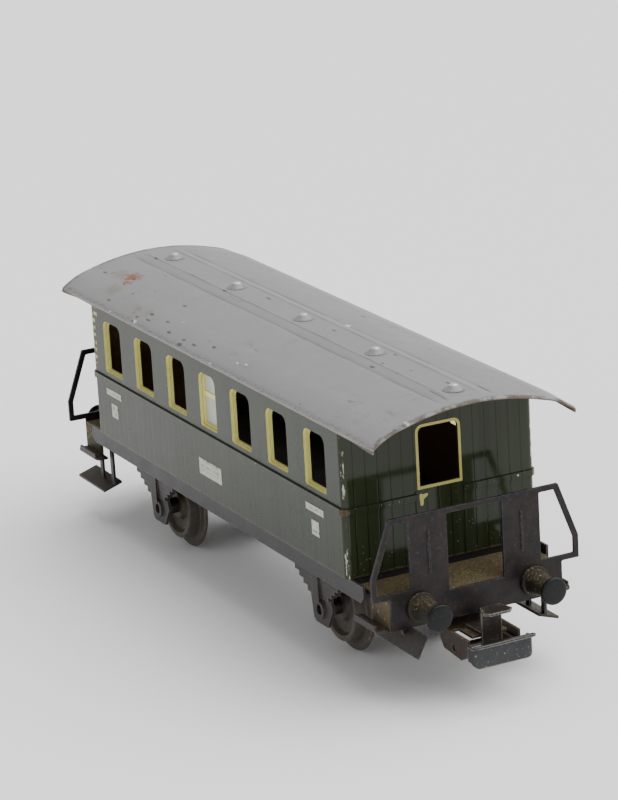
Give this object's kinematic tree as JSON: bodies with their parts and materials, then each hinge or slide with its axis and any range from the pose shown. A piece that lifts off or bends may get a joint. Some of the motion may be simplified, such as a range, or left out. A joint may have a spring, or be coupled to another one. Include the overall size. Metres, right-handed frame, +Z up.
{
  "type": "model passenger coach",
  "caption": "Tinplate model railway coach with open end platforms, turning flanged wheelsets, sprung-look axle guards and swinging loop couplers.",
  "frame": {"origin": "middle of the coach in plan, level with the lowest point of the wheel flanges", "axes": "+X along the coach to its front coupler, +Y to its left side, +Z up"},
  "size_m": [0.12, 0.0328, 0.0438],
  "materials": {
    "lacquered_tin": "satin grey-green lacquer with printed yellow window surrounds",
    "roof_lacquer": "satin grey lacquer, scratched and lightly rusted",
    "milky_pane": "milky sheet",
    "wheel_metal": "dull dark coating, dusty",
    "axle_steel": "plain turned steel",
    "buffer_metal": "satin dark grey lacquer",
    "coupler_steel": "blackened steel, bright at worn edges",
    "railing_lacquer": "worn dark brown lacquer",
    "frame_lacquer": "satin dark grey lacquer",
    "platform_lacquer": "dusty dark lacquer"
  },
  "bodies": {
    "coach": {"axle_guard_front_left": "frame_lacquer", "axle_guard_front_right": "frame_lacquer", "axle_guard_rear_left": "frame_lacquer", "axle_guard_rear_right": "frame_lacquer", "body_shell": "lacquered_tin", "buffer_front_left": "buffer_metal", "buffer_front_right": "buffer_metal", "buffer_rear_left": "buffer_metal", "buffer_rear_right": "buffer_metal", "coupler_pivot_front": "coupler_steel", "coupler_pivot_rear": "coupler_steel", "end_platform_front": "platform_lacquer", "end_platform_rear": "platform_lacquer", "end_railing_front": "railing_lacquer", "end_railing_rear": "railing_lacquer", "lower_step_front_left": "platform_lacquer", "lower_step_front_right": "platform_lacquer", "lower_step_rear_left": "platform_lacquer", "lower_step_rear_right": "platform_lacquer", "roof": "roof_lacquer", "roof_vent_1": "roof_lacquer", "roof_vent_2": "roof_lacquer", "roof_vent_3": "roof_lacquer", "roof_vent_4": "roof_lacquer", "roof_vent_5": "roof_lacquer", "toilet_pane_left": "milky_pane", "toilet_pane_right": "milky_pane", "underframe": "frame_lacquer", "upper_step_front_left": "platform_lacquer", "upper_step_front_right": "platform_lacquer", "upper_step_rear_left": "platform_lacquer", "upper_step_rear_right": "platform_lacquer"},
    "front_wheelset": {"axle_front": "axle_steel", "wheel_front_left": "wheel_metal", "wheel_front_right": "wheel_metal"},
    "front_coupler": {"coupler_shank_front": "coupler_steel", "coupler_hook_front": "coupler_steel", "loop_pin_front": "coupler_steel"},
    "front_loop": {"coupler_loop_front": "coupler_steel"},
    "rear_wheelset": {"axle_rear": "axle_steel", "wheel_rear_left": "wheel_metal", "wheel_rear_right": "wheel_metal"},
    "rear_coupler": {"coupler_shank_rear": "coupler_steel", "coupler_hook_rear": "coupler_steel", "loop_pin_rear": "coupler_steel"},
    "rear_loop": {"coupler_loop_rear": "coupler_steel"}
  },
  "joints": [
    {"name": "front_axle_spin", "type": "hinge", "parent": "coach", "child": "front_wheelset", "pos_m": [0.0277, 0, 0.0071], "axis": [0, 1, 0], "continuous": true},
    {"name": "front_coupler_swing", "type": "hinge", "parent": "coach", "child": "front_coupler", "pos_m": [0.0395, 0, 0.0092], "axis": [0, 0, 1], "range_deg": [-12, 12]},
    {"name": "front_loop_lift", "type": "hinge", "parent": "front_coupler", "child": "front_loop", "pos_m": [0.0522, 0, 0.00715], "axis": [0, -1, 0], "range_deg": [0, 18]},
    {"name": "rear_axle_spin", "type": "hinge", "parent": "coach", "child": "rear_wheelset", "pos_m": [-0.0277, 0, 0.0071], "axis": [0, 1, 0], "continuous": true},
    {"name": "rear_coupler_swing", "type": "hinge", "parent": "coach", "child": "rear_coupler", "pos_m": [-0.0395, 0, 0.0092], "axis": [0, 0, 1], "range_deg": [-12, 12]},
    {"name": "rear_loop_lift", "type": "hinge", "parent": "rear_coupler", "child": "rear_loop", "pos_m": [-0.0522, 0, 0.00715], "axis": [0, 1, 0], "range_deg": [0, 18]}
  ]
}
